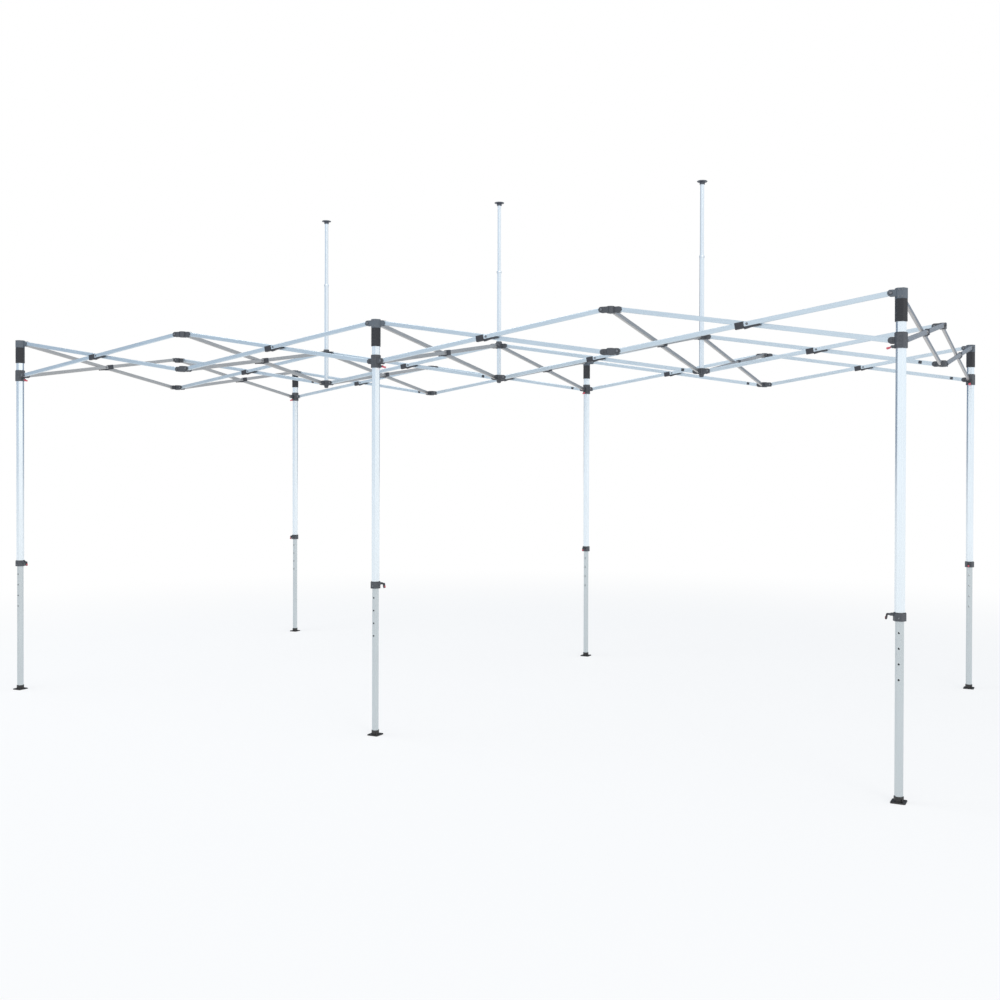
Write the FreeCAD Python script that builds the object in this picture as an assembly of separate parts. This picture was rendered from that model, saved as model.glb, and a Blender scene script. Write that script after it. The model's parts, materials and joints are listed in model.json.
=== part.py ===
import FreeCAD, Part
import math
import os

# A pop up canopy frame, 6 m by 3 m, opened and without its cloth, in millimetres.
# +Z is up, X runs along the long side, and the origin is on the ground under the middle of the frame.
# Fifteen nodes stand on a grid of five columns (X) and three rows (Y). Six are legs, three carry peak poles,
# and six are plain truss brackets. Every two neighbours are tied by a scissor: a rising bar runs from the
# lower bracket of the first node to the upper bracket of the next, and a falling bar runs the other way.

# Grid
BAY = 1510.0                 # node to node, along X and along Y
COLUMNS = (-2, -1, 0, 1, 2)
ROWS = (-1, 0, 1)
ROW_NAMES = {-1: "front", 0: "centre", 1: "back"}
LEG_COLUMNS = {-2: "left", 0: "middle", 2: "right"}
POLE_COLUMNS = {-1: "left", 0: "middle", 1: "right"}

# Heights of the bracket pins
TOP_PIN_Z = 2440.0
PIN_DROP = 224.0             # upper pins to lower pins, with the frame open
LOW_PIN_Z = TOP_PIN_Z - PIN_DROP

# Scissor bars
PIN_CLEAR = 6.5              # a hanging bar to the flat of a runner
BAR_DEPTH = 25.0
BAR_WIDTH = 15.0
BAR_WALL = 1.6
BAR_EDGE = 3.0
BAR_GAP = 4.0                # between the two bars of a scissor
PIN_R = 4.0
PIN_PLAY = 0.3
HEAD_RIM = 3.0               # rivet head beyond its pin
HEAD_T = 3.0
SPACER_R = 11.0
SPACER_PLAY = 0.3

# Brackets
BRACKET_EDGE = 4.0           # rounding of the upright edges of leg brackets
SLEEVE_EDGE = 3.0
TRUSS_EDGE = 3.0
FORK_PLAY = 0.5              # each side of a bar in its fork
FORK_INNER = BAR_GAP - 1.0   # thickness of the ear between the two bars
FORK_OUTER = 5.0
FORK_RIM = 3.5               # fork above and below its bar
END_PLAY = 1.5               # bar end to the bottom of its fork
TRUSS_CORE_R = 21.0
TRUSS_RIM = 3.0              # plain bracket above and below its forks

# Legs: six sided tubes, flats towards the front and the back
LEG_AF = 44.0                # across flats
LEG_WALL = 2.0
LEG_EDGE = 2.5
LEG_TOP_GAP = 1.0            # leg tube to the cap over it
LEG_SLIDE_PLAY = 1.5         # lower tube inside the upper tube, each side
LOWER_WALL = 2.0
LOWER_OVERLAP = 410.0        # lower tube above the collar's middle
HOLE_R = 5.0
HOLE_PITCH = 75.0
HOLE_COUNT = 4

# Bracket on top of a leg
CAP_RISE = 7.0               # cap above its forks
CAP_THICK = 8.0
SLEEVE_BELOW_PIN = 137.0
SLEEVE_PLAY = 0.3
SLEEVE_WALL = 3.2
CAP_WALL = 4.7
CAP_BELOW_PIN = 27.0

# Runner that slides on a leg
RUNNER_PLAY = 0.6
RUNNER_WALL = 5.4
RUNNER_UP = 34.0
RUNNER_DOWN = 40.0

# Collar at the foot of the upper leg
COLLAR_Z = 890.0
COLLAR_WALL = 5.7
COLLAR_HALF = 19.0
COLLAR_STEP = 4.0            # the upper tube ends this far under the collar's middle
COLLAR_PLAY = 0.3
GUIDE_PLAY = 0.4

# Lock levers, the same hinge on collars and on runners
LEVER_OUT = 13.0             # lever pin beyond the collar's flat
LEVER_PIN_R = 2.5
LEVER_PIN_PLAY = 0.2
LEVER_HALF = 7.0
LEVER_SIDE_PLAY = 0.4
LEVER_EAR = 3.0
LEVER_EAR_HALF = 6.5
COLLAR_LEVER_RISE = 11.0     # lever pin above the collar's middle
COLLAR_LEVER_OUT = 22.0
COLLAR_LEVER_DROP = 26.0
COLLAR_LEVER_THICK = 8.0
RUNNER_LEVER_DROP = 31.0     # lever pin under the fork pins
RUNNER_LEVER_OUT = 25.0
RUNNER_LEVER_SAG = 6.0
RUNNER_LEVER_THICK = 5.0
LEVER_RING_R = 5.0

# Feet
FOOT_SIDE = 72.0
FOOT_THICK = 4.0
FOOT_CORNER = 8.0
FOOT_SOCKET_UP = 26.0
FOOT_SOCKET_WALL = 2.5
FOOT_PLAY = 0.2
STAKE_R = 5.5
STAKE_OUT = 27.0

# Peak poles
POLE_AF = 28.0
POLE_WALL = 1.6
POLE_EDGE = 1.5
POLE_ABOVE_PIN = 530.0
TIP_PLAY = 0.6
TIP_WALL = 1.6
TIP_SHOWN = 481.0            # tip above its sleeve
TIP_INSIDE = 300.0
POLE_HUB_WALL = 11.0
POLE_HUB_PLAY = 0.3
POLE_CUP_FLOOR = 4.0
POLE_CUP_PLAY = 0.5
DISC_R = 33.0
DISC_THICK = 7.0
DISC_EDGE = 2.5
DISC_SKIRT_WALL = 4.9
DISC_SKIRT_H = 16.0
DISC_PLAY = 0.3

# Saddle clip beside each scissor's middle
SADDLE_NEAR = 18.0
SADDLE_LENGTH = 46.0
SADDLE_WALL = 2.5
SADDLE_PLAY = 0.2
SADDLE_EDGE = 1.5
TONGUE_LENGTH = 82.0
TONGUE_THICK = 6.0

# Values that follow from the sizes above
BAR_END_R = BAR_DEPTH / 2
FORK_HALF = BAR_END_R + FORK_RIM                 # also the radius of a fork's tip
TRUSS_HALF = FORK_HALF + TRUSS_RIM
HEAD_R = PIN_R + HEAD_RIM
LOWER_AF = LEG_AF - 2 * (LEG_WALL + LEG_SLIDE_PLAY)
LOWER_TOP_Z = COLLAR_Z + LOWER_OVERLAP
HOLE_FIRST_Z = COLLAR_Z - HOLE_COUNT * HOLE_PITCH
CAP_ABOVE_PIN = FORK_HALF + CAP_RISE
SLEEVE_AF = LEG_AF + 2 * (SLEEVE_PLAY + SLEEVE_WALL)
CAP_AF = LEG_AF + 2 * (SLEEVE_PLAY + CAP_WALL)
RUNNER_AF = LEG_AF + 2 * (RUNNER_PLAY + RUNNER_WALL)
COLLAR_AF = LEG_AF + 2 * (COLLAR_PLAY + COLLAR_WALL)
LEVER_REACH = COLLAR_AF / 2 + LEVER_OUT          # leg axis to lever pin
TIP_AF = POLE_AF - 2 * (POLE_WALL + TIP_PLAY)
POLE_HUB_R = POLE_AF / 2 + POLE_HUB_WALL
POLE_TOP_Z = TOP_PIN_Z + POLE_ABOVE_PIN
TIP_TOP_Z = POLE_TOP_Z + TIP_SHOWN
DISC_SKIRT_R = TIP_AF / 2 + DISC_PLAY + DISC_SKIRT_WALL
PIN_REACH = RUNNER_AF / 2 + BAR_END_R + PIN_CLEAR    # node axis to pin
SPAN = BAY - 2 * PIN_REACH                       # pin to pin, level
BAR_LENGTH = math.hypot(SPAN, PIN_DROP)          # pin to pin, along the bar
BAR_SLOPE = math.degrees(math.atan2(PIN_DROP, SPAN))
LANE = (BAR_WIDTH + BAR_GAP) / 2                 # a bar's middle to the plane of its scissor
SLOT_FLOOR = PIN_REACH - BAR_END_R - END_PLAY
FOOT_SOCKET_AF = LOWER_AF + 2 * (FOOT_PLAY + FOOT_SOCKET_WALL)
CUT = 5.0                                        # how far a cutting tool runs past what it cuts

X, Y, Z = FreeCAD.Vector(1, 0, 0), FreeCAD.Vector(0, 1, 0), FreeCAD.Vector(0, 0, 1)


def at(x, y, z):
    return FreeCAD.Vector(x, y, z)


def node_at(column, row):
    """Where a node's axis meets the ground."""
    return at(column * BAY, row * BAY, 0)


def moved(shape, x, y, z):
    copy = shape.copy()
    copy.translate(at(x, y, z))
    return copy


def six_sided(across_flats, bottom, top, edge=0.0):
    """A six sided bar on the Z axis, with flats to the front and the back and rounded long edges."""
    radius = across_flats / 2 / math.cos(math.radians(30))
    corners = [at(radius * math.cos(math.radians(60 * k)), radius * math.sin(math.radians(60 * k)), bottom)
               for k in range(6)]
    bar = Part.Face(Part.makePolygon(corners + corners[:1])).extrude(at(0, 0, top - bottom))
    if edge:
        bar = bar.makeFillet(edge, edges_along(bar, Z))
    return bar


def six_sided_tube(across_flats, wall, bottom, top, edge):
    inner = six_sided(across_flats - 2 * wall, bottom - CUT, top + CUT, max(edge - wall / 2, 0.5))
    return six_sided(across_flats, bottom, top, edge).cut(inner)


def turned(shape, direction):
    """Turns a shape made along +X so that it points along one of the four grid directions."""
    copy = shape.copy()
    copy.rotate(at(0, 0, 0), Z, {(1, 0): 0, (0, 1): 90, (-1, 0): 180, (0, -1): 270}[direction])
    return copy


def edges_along(shape, axis):
    """The straight edges that run along an axis."""
    return [e for e in shape.Edges if abs(e.tangentAt(e.FirstParameter).dot(axis)) > 0.99]


def box(x0, x1, y0, y1, z0, z1):
    return Part.makeBox(x1 - x0, y1 - y0, z1 - z0, at(x0, y0, z0))


# Scissor bars

def pin_hole(x):
    """Cuts a bar for a pin at x."""
    return Part.makeCylinder(PIN_R + PIN_PLAY, BAR_WIDTH + 2 * CUT, at(x, -BAR_WIDTH / 2 - CUT, 0), Y)


def bar_blank():
    """A bar along +X from a pin at the origin: a flat tube with round ends and a pin hole at each end."""
    half = BAR_DEPTH / 2
    body = box(0, BAR_LENGTH, -BAR_WIDTH / 2, BAR_WIDTH / 2, -half, half)
    for x in (0, BAR_LENGTH):
        body = body.fuse(Part.makeCylinder(half, BAR_WIDTH, at(x, -BAR_WIDTH / 2, 0), Y))
    body = body.removeSplitter()
    long_edges = [e for e in edges_along(body, X) if e.Length > BAR_LENGTH / 2]
    body = body.makeFillet(BAR_EDGE, long_edges)
    hollow = box(-half - CUT, BAR_LENGTH + half + CUT,
                 BAR_WALL - BAR_WIDTH / 2, BAR_WIDTH / 2 - BAR_WALL, BAR_WALL - half, half - BAR_WALL)
    body = body.cut(hollow)
    for x in (0, BAR_LENGTH):
        body = body.cut(pin_hole(x))
    return body


def rising_blank():
    """The bar that carries the middle pin, its spacer and its rivet heads. The other bar is on +Y."""
    middle = BAR_LENGTH / 2
    near = BAR_WIDTH / 2
    far = near + BAR_GAP + BAR_WIDTH
    spacer = Part.makeCylinder(SPACER_R, BAR_GAP - SPACER_PLAY, at(middle, near, 0), Y)
    pin = Part.makeCylinder(PIN_R, far + SPACER_PLAY + near, at(middle, -near, 0), Y)
    head = Part.makeCylinder(HEAD_R, HEAD_T, at(middle, far + SPACER_PLAY, 0), Y)
    tail = Part.makeCylinder(HEAD_R, HEAD_T, at(middle, -near - HEAD_T, 0), Y)
    return bar_blank().fuse([spacer, pin, head, tail]).removeSplitter()


def falling_blank():
    return bar_blank().cut(pin_hole(BAR_LENGTH / 2))


def saddle_blank(side):
    """A clip that wraps the rising bar beside its middle, with a tongue under the bar. side is -1 or 1."""
    middle = BAR_LENGTH / 2
    half_w = BAR_WIDTH / 2 + SADDLE_PLAY
    half_d = BAR_DEPTH / 2 + SADDLE_PLAY
    start = middle + side * SADDLE_NEAR
    end = middle + side * (SADDLE_NEAR + SADDLE_LENGTH)
    low, high = min(start, end), max(start, end)
    outer_w = half_w + SADDLE_WALL
    clip = box(low, high, -outer_w, outer_w, -half_d - TONGUE_THICK, half_d + SADDLE_WALL)
    clip = clip.makeFillet(SADDLE_EDGE, edges_along(clip, X))
    tip = start - side * TONGUE_LENGTH
    tongue = box(min(start, tip), max(start, tip), -half_w, half_w, -half_d - TONGUE_THICK, -half_d)
    opening = box(low - CUT - TONGUE_LENGTH, high + CUT + TONGUE_LENGTH, -half_w, half_w, -half_d, half_d)
    return clip.fuse(tongue).cut(opening).removeSplitter()


def place_bar(blank, column, row, direction, rising):
    """Puts a blank in its scissor, which runs from a node along +X (1, 0) or +Y (0, 1)."""
    copy = blank.copy()
    copy.rotate(at(0, 0, 0), Y, -BAR_SLOPE if rising else BAR_SLOPE)
    lane = -LANE if rising else LANE
    copy.translate(at(PIN_REACH, lane, LOW_PIN_Z if rising else TOP_PIN_Z))
    copy = turned(copy, direction)
    copy.translate(node_at(column, row))
    return copy


# Brackets

def fork(direction, pin_z, top, pinned, core):
    """Two ears for one bar end, with their pin, or with a rivet head only. The fork's root starts at core."""
    side = 1 if top else -1
    inner = side * LANE - side * (BAR_WIDTH / 2 + FORK_PLAY)
    outer = side * LANE + side * (BAR_WIDTH / 2 + FORK_PLAY)
    back, front = inner - side * FORK_INNER, outer + side * FORK_OUTER
    y0, y1 = min(back, front), max(back, front)
    arm = box(core, PIN_REACH, y0, y1, pin_z - FORK_HALF, pin_z + FORK_HALF)
    arm = arm.fuse(Part.makeCylinder(FORK_HALF, y1 - y0, at(PIN_REACH, y0, pin_z), Y)).removeSplitter()
    slot = box(SLOT_FLOOR, PIN_REACH + FORK_HALF + CUT, min(inner, outer), max(inner, outer),
               pin_z - FORK_HALF - CUT, pin_z + FORK_HALF + CUT)
    heads = [Part.makeCylinder(HEAD_R, HEAD_T, at(PIN_REACH, y1, pin_z), Y)]
    if pinned:
        heads.append(Part.makeCylinder(PIN_R, y1 - y0, at(PIN_REACH, y0, pin_z), Y))
    return turned(arm, direction), turned(slot, direction), [turned(h, direction) for h in heads]


def bracket(core, bore, pin_z, directions, top):
    """A core with a fork in each direction. Lower forks along the long side have heads but no pin through."""
    pins = []
    for direction in directions:
        pinned = top or direction[0] == 0
        arm, slot, heads = fork(direction, pin_z, top, pinned, 5.0)
        core = core.fuse(arm).cut(slot)
        pins += heads
    if bore is not None:
        core = core.cut(bore)
    return core.fuse(pins).removeSplitter()


def directions_at(column, row):
    """The grid directions in which a node has a neighbour."""
    return [d for d in ((1, 0), (0, 1), (-1, 0), (0, -1)) if column + d[0] in COLUMNS and row + d[1] in ROWS]


def leg_top(column, row):
    """The bracket that caps a leg: a thick head with forks, and a sleeve down the tube."""
    top_z = TOP_PIN_Z + CAP_ABOVE_PIN
    head = six_sided(CAP_AF, TOP_PIN_Z - CAP_BELOW_PIN, top_z, BRACKET_EDGE)
    sleeve = six_sided(SLEEVE_AF, TOP_PIN_Z - SLEEVE_BELOW_PIN, top_z - CAP_THICK, SLEEVE_EDGE)
    bore_af = LEG_AF + 2 * SLEEVE_PLAY
    bore = six_sided(bore_af, TOP_PIN_Z - SLEEVE_BELOW_PIN - CUT, top_z - CAP_THICK, LEG_EDGE)
    shape = bracket(head.fuse(sleeve), bore, TOP_PIN_Z, directions_at(column, row), True)
    return moved(shape, *node_at(column, row))


def runner(column, row):
    """The bracket that slides on a leg, with forks and the ears of its lock lever."""
    bottom, top = LOW_PIN_Z - RUNNER_DOWN, LOW_PIN_Z + RUNNER_UP
    core = six_sided(RUNNER_AF, bottom, top, BRACKET_EDGE)
    bore = six_sided(LEG_AF + 2 * RUNNER_PLAY, bottom - CUT, top + CUT, LEG_EDGE)
    shape = bracket(core, bore, LOW_PIN_Z, directions_at(column, row), False)
    ears = lever_ears(LOW_PIN_Z - RUNNER_LEVER_DROP, lever_direction(column, row), bore)
    return moved(shape.fuse(ears).removeSplitter(), *node_at(column, row))


def truss_bracket(column, row, top):
    """A plain bracket, or a pole's: bored through on top, and a cup with a floor under the pole."""
    pin_z = TOP_PIN_Z if top else LOW_PIN_Z
    bore = None
    radius = TRUSS_CORE_R
    if row == 0 and column in POLE_COLUMNS:
        radius = POLE_HUB_R
        play = POLE_HUB_PLAY if top else POLE_CUP_PLAY
        floor = -CUT if top else POLE_CUP_FLOOR
        bore = six_sided(POLE_AF + 2 * play, pin_z - TRUSS_HALF + floor, pin_z + TRUSS_HALF + CUT, POLE_EDGE)
    core = Part.makeCylinder(radius, 2 * TRUSS_HALF, at(0, 0, pin_z - TRUSS_HALF), Z)
    core = core.makeFillet(TRUSS_EDGE, [e for e in core.Edges if e.Closed])
    shape = bracket(core, bore, pin_z, directions_at(column, row), top)
    return moved(shape, *node_at(column, row))


# Lock levers

def lever_direction(column, row):
    """Front levers point along the long side to the inside, and back levers point to the front."""
    if row > 0:
        return (0, -1)
    return (-1, 0) if column > 0 else (1, 0)


def lever_ears(pin_z, direction, bore):
    """Two ears with a pin between them, rooted in the body whose bore is given."""
    inner = LEVER_HALF + LEVER_SIDE_PLAY
    ears = []
    for side in (-1, 1):
        y0, y1 = sorted((side * inner, side * (inner + LEVER_EAR)))
        ear = box(0, LEVER_REACH, y0, y1, pin_z - LEVER_EAR_HALF, pin_z + LEVER_EAR_HALF)
        tip = Part.makeCylinder(LEVER_EAR_HALF, LEVER_EAR, at(LEVER_REACH, y0, pin_z), Y)
        ears.append(ear.fuse(tip).removeSplitter())
    pin = Part.makeCylinder(LEVER_PIN_R, 2 * inner + 1, at(LEVER_REACH, -inner - 0.5, pin_z), Y)
    return turned(ears[0].fuse([ears[1], pin]), direction).cut(bore)


def lever(points, thick, pin_z, direction):
    """A lever along +X whose middle line starts on its pin and runs through the points, cut for the pin."""
    ring = Part.makeCylinder(LEVER_RING_R, 2 * LEVER_HALF, at(0, -LEVER_HALF, 0), Y)
    solids = []
    for (x0, z0), (x1, z1) in zip(points, points[1:]):
        length = math.hypot(x1 - x0, z1 - z0)
        arm = box(0, length, -LEVER_HALF, LEVER_HALF, -thick / 2, thick / 2)
        arm.rotate(at(0, 0, 0), Y, -math.degrees(math.atan2(z1 - z0, x1 - x0)))
        arm.translate(at(x0, 0, z0))
        knee = Part.makeCylinder(thick / 2, 2 * LEVER_HALF, at(x1, -LEVER_HALF, z1), Y)
        solids += [arm, knee]
    hole_r = LEVER_PIN_R + LEVER_PIN_PLAY
    hole = Part.makeCylinder(hole_r, 2 * LEVER_HALF + 2 * CUT, at(0, -LEVER_HALF - CUT, 0), Y)
    shape = ring.fuse(solids).removeSplitter().cut(hole)
    shape.translate(at(LEVER_REACH, 0, pin_z))
    return turned(shape, direction)


def collar_lever(column, row):
    bend = (COLLAR_LEVER_OUT - COLLAR_LEVER_THICK / 2, 0)
    points = ((0, 0), bend, (COLLAR_LEVER_OUT, -COLLAR_LEVER_DROP + COLLAR_LEVER_THICK / 2))
    shape = lever(points, COLLAR_LEVER_THICK, COLLAR_Z + COLLAR_LEVER_RISE, lever_direction(column, row))
    return moved(shape, *node_at(column, row))


def runner_lever(column, row):
    points = ((0, 0), (RUNNER_LEVER_OUT, -RUNNER_LEVER_SAG))
    shape = lever(points, RUNNER_LEVER_THICK, LOW_PIN_Z - RUNNER_LEVER_DROP, lever_direction(column, row))
    return moved(shape, *node_at(column, row))


# Legs

def upper_leg(column, row):
    top = TOP_PIN_Z + CAP_ABOVE_PIN - CAP_THICK - LEG_TOP_GAP
    tube = six_sided_tube(LEG_AF, LEG_WALL, COLLAR_Z - COLLAR_STEP, top, LEG_EDGE)
    return moved(tube, *node_at(column, row))


def lower_leg(column, row):
    """The tube that slides out of the upper leg, with setting holes through its front and back flats."""
    tube = six_sided_tube(LOWER_AF, LOWER_WALL, FOOT_THICK, LOWER_TOP_Z, LEG_EDGE)
    for k in range(HOLE_COUNT):
        tube = tube.cut(Part.makeCylinder(HOLE_R, LOWER_AF + 2 * CUT,
                                          at(0, -LOWER_AF / 2 - CUT, HOLE_FIRST_Z + k * HOLE_PITCH), Y))
    return moved(tube, *node_at(column, row))


def leg_collar(column, row):
    bottom, top = COLLAR_Z - COLLAR_HALF, COLLAR_Z + COLLAR_HALF
    core = six_sided(COLLAR_AF, bottom, top, BRACKET_EDGE)
    seat = six_sided(LEG_AF + 2 * COLLAR_PLAY, COLLAR_Z - COLLAR_STEP - COLLAR_PLAY, top + CUT, LEG_EDGE)
    guide = six_sided(LOWER_AF + 2 * GUIDE_PLAY, bottom - CUT, top, LEG_EDGE)
    bore = seat.fuse(guide)
    ears = lever_ears(COLLAR_Z + COLLAR_LEVER_RISE, lever_direction(column, row), bore)
    return moved(core.cut(bore).fuse(ears).removeSplitter(), *node_at(column, row))


def foot(column, row):
    """A square plate with a socket for the leg and two stake holes on a diagonal."""
    half = FOOT_SIDE / 2
    plate = box(-half, half, -half, half, 0, FOOT_THICK)
    plate = plate.makeFillet(FOOT_CORNER, edges_along(plate, Z))
    socket = six_sided(FOOT_SOCKET_AF, 0, FOOT_THICK + FOOT_SOCKET_UP, LEG_EDGE)
    bore = six_sided(LOWER_AF + 2 * FOOT_PLAY, FOOT_THICK, FOOT_THICK + FOOT_SOCKET_UP + CUT, LEG_EDGE)
    shape = plate.fuse(socket).cut(bore).removeSplitter()
    for side in (-1, 1):
        shape = shape.cut(Part.makeCylinder(STAKE_R, FOOT_THICK + 2 * CUT,
                                            at(side * STAKE_OUT, side * STAKE_OUT, -CUT), Z))
    return moved(shape, *node_at(column, row))


# Peak poles

def pole_sleeve(column):
    bottom = LOW_PIN_Z - TRUSS_HALF + POLE_CUP_FLOOR + POLE_CUP_PLAY
    tube = six_sided_tube(POLE_AF, POLE_WALL, bottom, POLE_TOP_Z, POLE_EDGE)
    return moved(tube, *node_at(column, 0))


def pole_tip(column):
    tube = six_sided_tube(TIP_AF, TIP_WALL, POLE_TOP_Z - TIP_INSIDE, TIP_TOP_Z, POLE_EDGE)
    return moved(tube, *node_at(column, 0))


def pole_disc(column):
    """The round cap on a pole tip, with a skirt around the tube."""
    disc = Part.makeCylinder(DISC_R, DISC_THICK, at(0, 0, TIP_TOP_Z + DISC_PLAY), Z)
    disc = disc.makeFillet(DISC_EDGE, [e for e in disc.Edges if e.Closed])
    skirt_z = TIP_TOP_Z + DISC_PLAY - DISC_SKIRT_H
    skirt = Part.makeCylinder(DISC_SKIRT_R, DISC_SKIRT_H + 1, at(0, 0, skirt_z), Z)
    bore = six_sided(TIP_AF + 2 * DISC_PLAY, TIP_TOP_Z - DISC_SKIRT_H - CUT, TIP_TOP_Z + DISC_PLAY, POLE_EDGE)
    return moved(disc.fuse(skirt).cut(bore).removeSplitter(), *node_at(column, 0))


# The nodes

def write(name, shapes):
    Part.makeCompound(list(shapes)).exportStep(os.path.join("parts", name + ".step"))


def write_legs():
    for row in (-1, 1):
        side = ROW_NAMES[row]
        for column, place in LEG_COLUMNS.items():
            write(f"upper_leg_{side}_{place}", [upper_leg(column, row)])
            write(f"lower_leg_{side}_{place}", [lower_leg(column, row)])
            write(f"foot_{side}_{place}", [foot(column, row)])
            write(f"collar_lever_{side}_{place}", [collar_lever(column, row)])
            write(f"runner_lever_{side}_{place}", [runner_lever(column, row)])
        write(f"leg_tops_{side}", [leg_top(c, row) for c in LEG_COLUMNS])
        write(f"runners_{side}", [runner(c, row) for c in LEG_COLUMNS])
        write(f"leg_collars_{side}", [leg_collar(c, row) for c in LEG_COLUMNS])


def write_trusses():
    rising, falling = rising_blank(), falling_blank()
    low_saddle, high_saddle = saddle_blank(-1), saddle_blank(1)
    for row in ROWS:
        side = ROW_NAMES[row]
        plain = [c for c in COLUMNS if row == 0 or c not in LEG_COLUMNS]
        write(f"truss_tops_{side}", [truss_bracket(c, row, True) for c in plain])
        write(f"truss_feet_{side}", [truss_bracket(c, row, False) for c in plain])
        write(f"long_bars_{side}", [place_bar(b, c, row, (1, 0), b is rising)
                                    for c in COLUMNS[:-1] for b in (rising, falling)])
        write(f"long_saddles_{side}", [place_bar(low_saddle, c, row, (1, 0), True) for c in COLUMNS[:-1]])
    for row, side in ((-1, "front"), (0, "back")):
        write(f"cross_bars_{side}_rising",
              [place_bar(b, c, row, (0, 1), True) for c in COLUMNS for b in (rising, high_saddle)])
        write(f"cross_bars_{side}_falling", [place_bar(falling, c, row, (0, 1), False) for c in COLUMNS])


def write_poles():
    write("pole_sleeves", [pole_sleeve(c) for c in POLE_COLUMNS])
    for column, place in POLE_COLUMNS.items():
        write(f"pole_tip_{place}", [pole_tip(column)])
    for column, place in POLE_COLUMNS.items():
        write(f"pole_disc_{place}", [pole_disc(column)])


os.makedirs("parts", exist_ok=True)
write_legs()
write_trusses()
write_poles()
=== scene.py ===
# %% [markdown]
# # A pop up canopy frame in Blender
# The frame of a 3 m by 6 m canopy stands open, with no cloth on it. Its tubes, bars and brackets come from
# the CAD model with their real shapes. This lesson adds what a CAD model leaves out: rivets, plugs, grips,
# moulded ribs, and the finish of anodised metal and moulded plastic.
#
# Everything is in metres. +X runs along the long side, +Y goes from the front legs to the back legs, and +Z
# is up, with the ground at zero.

# %% Load the CAD frame
import json
import math

import bmesh
import bpy
import numpy as np
from mathutils import Matrix, Vector


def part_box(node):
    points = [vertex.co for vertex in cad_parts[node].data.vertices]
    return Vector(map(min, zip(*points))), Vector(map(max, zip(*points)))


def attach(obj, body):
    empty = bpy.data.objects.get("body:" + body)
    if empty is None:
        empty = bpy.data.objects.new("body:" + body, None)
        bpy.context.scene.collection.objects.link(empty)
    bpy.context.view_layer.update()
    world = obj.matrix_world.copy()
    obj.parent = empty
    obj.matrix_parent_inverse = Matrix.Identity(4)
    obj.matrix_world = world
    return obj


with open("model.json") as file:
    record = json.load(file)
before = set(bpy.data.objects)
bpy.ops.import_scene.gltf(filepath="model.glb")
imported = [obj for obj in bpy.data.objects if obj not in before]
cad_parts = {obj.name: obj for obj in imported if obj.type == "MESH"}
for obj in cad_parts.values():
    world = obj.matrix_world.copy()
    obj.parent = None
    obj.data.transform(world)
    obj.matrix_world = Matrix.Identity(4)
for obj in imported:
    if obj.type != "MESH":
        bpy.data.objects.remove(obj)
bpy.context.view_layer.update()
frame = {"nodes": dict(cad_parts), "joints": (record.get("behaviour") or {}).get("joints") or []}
joints = {joint["name"]: joint for joint in frame["joints"]}

# %% [markdown]
# ## Where the pins are
# The whole frame hangs on a grid. Each grid node has an upper and a lower bracket, and each bracket holds bar
# ends on pins at the same distance from the node's axis. The joints of the CAD model give these places, so
# the added pieces can't drift away from it.

# %% Read the grid from the joints
REACH = -joints["fold"]["pos_m"][1]
TOP_PIN = joints["fold"]["pos_m"][2]
LOW_PIN = joints["centre_runner_pivot"]["pos_m"][2]
BAY = REACH - joints["front_row_pivot"]["pos_m"][1]
SPAN = BAY - 2 * REACH
SLOPE = math.atan2(TOP_PIN - LOW_PIN, SPAN)
BAR_LENGTH = math.hypot(SPAN, TOP_PIN - LOW_PIN)
BAR_WIDE, BAR_DEEP, BAR_GAP = 0.015, 0.025, 0.004
LANE = (BAR_WIDE + BAR_GAP) / 2
COLUMNS, ROWS = (-2, -1, 0, 1, 2), (-1, 0, 1)
ROW_NAME = {-1: "front", 0: "centre", 1: "back"}
LEGS = {(column, row): f"{ROW_NAME[row]}_{place}" for row in (-1, 1)
        for column, place in ((-2, "left"), (0, "middle"), (2, "right"))}
POLES = {-1: "left", 0: "middle", 1: "right"}
print(f"bay {BAY:.3f} m, pins {REACH * 1000:.0f} mm out")
print(f"bars {BAR_LENGTH:.4f} m at {math.degrees(SLOPE):.2f} degrees")

# %% [markdown]
# ## Shells from arrays
# Small hardware is easiest to make as a grid of points. A rivet is a profile turned about an axis, and a band
# is a profile carried round an outline. Each is worked out as one array, and faces join neighbours in the
# grid. A shell's volume comes out negative when its faces point inwards, so one test turns it the right way.

# %% Turn grids into closed shells
def quads(count_u, count_v, close_u, close_v):
    """Faces between neighbours of a grid of count_u by count_v points, closed round in either direction."""
    u, v = np.meshgrid(np.arange(count_u - (not close_u)), np.arange(count_v - (not close_v)), indexing="ij")
    u1, v1 = (u + 1) % count_u, (v + 1) % count_v
    here, beyond = u * count_v, u1 * count_v
    return np.stack([here + v, beyond + v, beyond + v1, here + v1], -1).reshape(-1, 4)


def outwards(points, faces):
    """The sum of p0 . (p1 x p2) over the faces is six times the volume. A negative one reverses the faces."""
    triangles = [faces[:, [0, 1, 2]], faces[:, [0, 2, 3]]]
    volume = sum(np.einsum("ij,ij->i", points[t[:, 0]], np.cross(points[t[:, 1]], points[t[:, 2]])).sum()
                 for t in triangles)
    return faces if volume > 0 else faces[:, ::-1]


def ring_shell(grid):
    """A grid (u, v, 3) that closes in both directions, like a tyre."""
    points = grid.reshape(-1, 3)
    return points, outwards(points, quads(grid.shape[0], grid.shape[1], True, True))


def capped_shell(rings):
    """A stack of rings (ring, point, 3). The first and last ring are drawn in to their own centres."""
    first, last = rings[:1].mean(1, keepdims=True), rings[-1:].mean(1, keepdims=True)
    first, last = (np.repeat(centre, rings.shape[1], 1) for centre in (first, last))
    grid = np.concatenate([first, rings, last])
    points = grid.reshape(-1, 3)
    return points, outwards(points, quads(grid.shape[0], grid.shape[1], False, True))


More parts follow.
